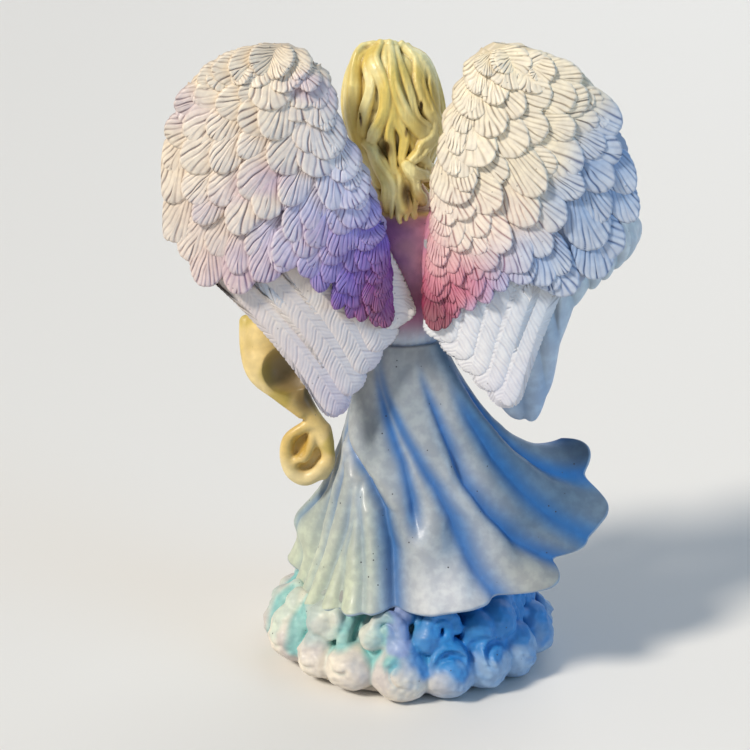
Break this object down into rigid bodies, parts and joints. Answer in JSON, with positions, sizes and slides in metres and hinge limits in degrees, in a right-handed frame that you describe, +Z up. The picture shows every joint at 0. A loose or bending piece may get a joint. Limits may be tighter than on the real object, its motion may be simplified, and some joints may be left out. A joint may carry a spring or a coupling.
{
  "type": "angel figurine",
  "caption": "Cast resin angel standing on a cloud, with spread feathered wings, long hair, a sweeping gown and a shawl over one forearm; rests on a felt pad",
  "frame": {"origin": "centre of the flat underside of the felt pad, on the surface the figurine stands on", "axes": "+Z up the standing figure, -Y the way it faces, +X towards its left hand"},
  "size_m": [0.1468, 0.0944, 0.2015],
  "materials": {
    "felt": "matte",
    "cloud_resin": "satin",
    "gown_resin": "satin",
    "bodice_resin": "satin",
    "sleeve_resin": "satin",
    "skin_resin": "matte",
    "hair_resin": "satin",
    "shawl_resin": "satin",
    "wing_resin": "matte",
    "flight_resin": "matte",
    "pin_steel": "satin"
  },
  "bodies": {
    "root": {"felt_pad": "felt", "cloud_base": "cloud_resin", "body_dowel": "pin_steel", "gown_skirt": "gown_resin", "gown_bodice": "bodice_resin", "wing_pins": "pin_steel", "neck_pin": "pin_steel", "head": "skin_resin", "hair": "hair_resin", "right_sleeve": "sleeve_resin", "left_sleeve": "sleeve_resin", "right_hand": "skin_resin", "left_hand": "skin_resin", "shawl": "shawl_resin", "left_wing_core": "wing_resin", "left_wing_primaries": "flight_resin", "left_wing_greater_coverts": "wing_resin", "left_wing_median_coverts": "wing_resin", "left_wing_lesser_coverts": "wing_resin", "left_wing_shoulder_coverts": "wing_resin", "left_wing_front_coverts": "wing_resin", "right_wing_core": "wing_resin", "right_wing_primaries": "flight_resin", "right_wing_greater_coverts": "wing_resin", "right_wing_median_coverts": "wing_resin", "right_wing_lesser_coverts": "wing_resin", "right_wing_shoulder_coverts": "wing_resin", "right_wing_front_coverts": "wing_resin"}
  },
  "joints": []
}
